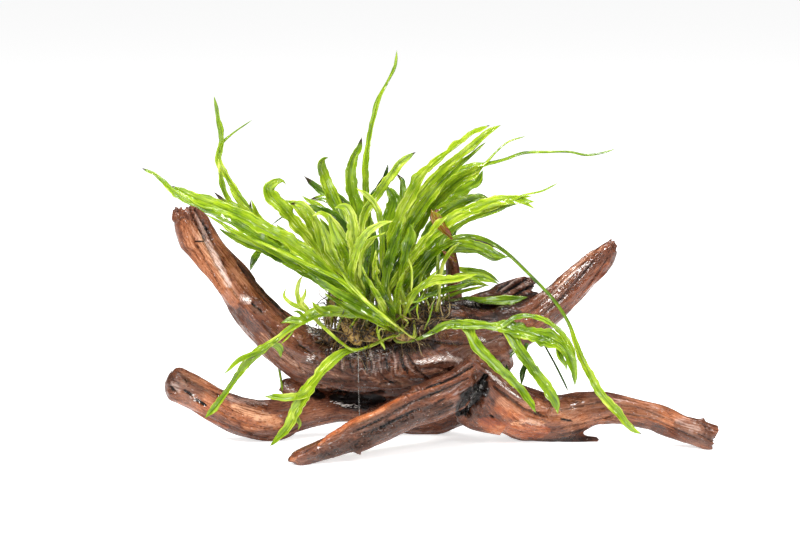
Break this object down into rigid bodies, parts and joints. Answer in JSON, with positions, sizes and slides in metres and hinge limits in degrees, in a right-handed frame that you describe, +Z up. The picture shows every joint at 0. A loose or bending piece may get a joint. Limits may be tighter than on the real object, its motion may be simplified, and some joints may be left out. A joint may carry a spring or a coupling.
{
  "type": "java fern on driftwood",
  "caption": "Java fern with long narrow fronds, growing from creeping rhizomes tied to a branching piece of wet red-brown driftwood that stands on its roots.",
  "frame": {"origin": "on the surface that the driftwood rests on, under the middle of the object's bounding box", "axes": "+X along the driftwood towards its right horn as seen from the front, -Y towards the viewer, +Z up"},
  "size_m": [0.2857, 0.14, 0.199],
  "materials": {
    "driftwood": "wet, fibrous, red-brown with dark cracks",
    "rhizome": "rough, scaly, olive-brown with dark hair roots",
    "frond_dark": "thin waxy leaf, satin, dark green",
    "frond_green": "thin waxy leaf, satin, mid green",
    "frond_bright": "thin waxy leaf, satin, yellow-green",
    "nylon_line": "clear nylon fishing line"
  },
  "bodies": {
    "root": {"wood_trunk": "driftwood", "wood_left_horn": "driftwood", "wood_right_horn": "driftwood", "wood_left_root": "driftwood", "wood_front_root": "driftwood", "wood_right_root": "driftwood", "wood_back_stub": "driftwood", "wood_back_twig": "driftwood", "rhizome_left": "rhizome", "rhizome_right": "rhizome", "rhizome_back": "rhizome", "tie_line": "nylon_line", "frond_long_left": "frond_bright", "frond_left_arch": "frond_bright", "frond_left_low": "frond_green", "frond_left_tall": "frond_green", "frond_left_shoot": "frond_green", "frond_left_brown_tip": "frond_green", "frond_left_broad": "frond_bright", "frond_dark_inner": "frond_dark", "frond_hooked_inner": "frond_green", "frond_dark_tipped": "frond_green", "frond_light_left": "frond_bright", "frond_light_inner": "frond_bright", "frond_bright_short": "frond_bright", "frond_centre_upright": "frond_green", "frond_tallest": "frond_bright", "frond_centre_hooked": "frond_green", "frond_dark_upright": "frond_dark", "frond_back_short": "frond_green", "frond_dark_broad": "frond_dark", "frond_pale_hook": "frond_bright", "frond_front_folded": "frond_bright", "frond_front_curved": "frond_bright", "frond_front_pale": "frond_bright", "frond_right_upper": "frond_bright", "frond_right_upper_back": "frond_green", "frond_right_tendril": "frond_green", "frond_right_broad": "frond_green", "frond_right_dark": "frond_dark", "frond_right_yellow": "frond_bright", "frond_right_narrow": "frond_green", "frond_mid_broad": "frond_dark", "frond_mid_olive": "frond_green", "frond_mid_dark": "frond_dark", "frond_right_trailing": "frond_green", "frond_right_drooping": "frond_dark", "frond_right_brown": "frond_dark", "frond_right_low_back": "frond_green", "frond_right_low": "frond_green", "frond_right_lowest": "frond_green", "frond_on_wood": "frond_dark", "frond_pale_stalk": "frond_bright", "frond_front_right_lobed": "frond_bright", "frond_front_left_compound": "frond_bright", "frond_front_antler": "frond_bright", "frond_front_left_broad": "frond_bright", "frond_back_left": "frond_green", "frond_back_middle": "frond_green", "frond_back_right": "frond_green"}
  },
  "joints": []
}
